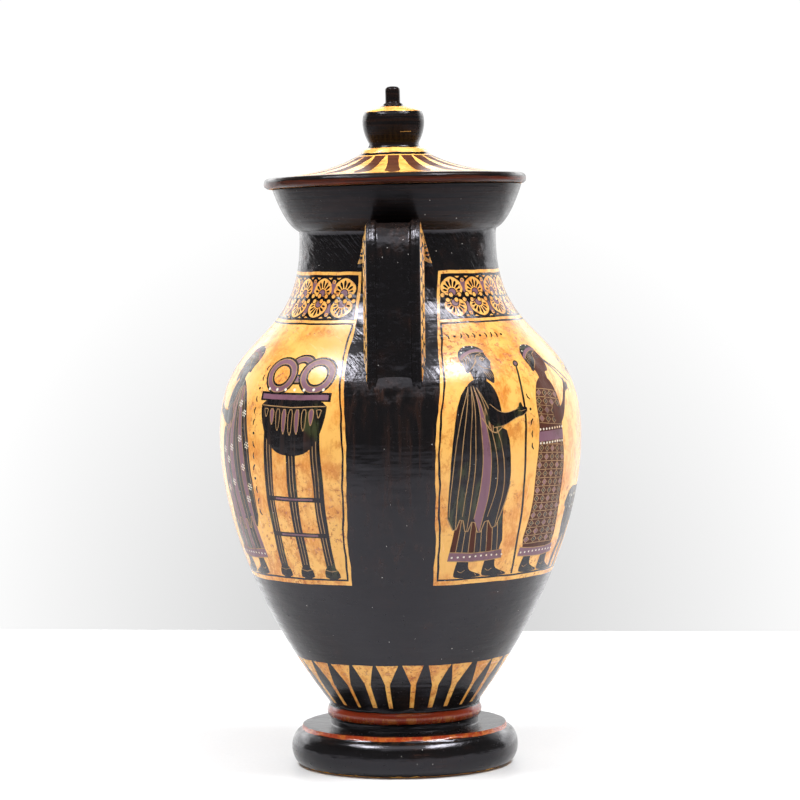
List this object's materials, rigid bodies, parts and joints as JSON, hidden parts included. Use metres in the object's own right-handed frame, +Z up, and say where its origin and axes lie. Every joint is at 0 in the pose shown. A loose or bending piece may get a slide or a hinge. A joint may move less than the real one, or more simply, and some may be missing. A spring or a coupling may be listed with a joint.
{
  "type": "lidded black-figure amphora",
  "caption": "Painted terracotta belly amphora with flanged strap handles and a loose knobbed lid, a display copy of an ancient storage and serving vessel",
  "frame": {"origin": "under the middle of the foot, on the surface the vessel stands on", "axes": "+Z up along the vessel's axis; the handles stand at -Y and +Y; the painted panels face -X and +X"},
  "size_m": [0.24, 0.24, 0.45],
  "materials": {
    "painted_terracotta": "glossy black slip over yellow-orange clay, varnished",
    "painted_terracotta_lid": "glossy black and dark brown slip over yellow-orange clay, varnished"
  },
  "bodies": {
    "root": {"amphora": "painted_terracotta", "lid": "painted_terracotta_lid"}
  },
  "joints": []
}
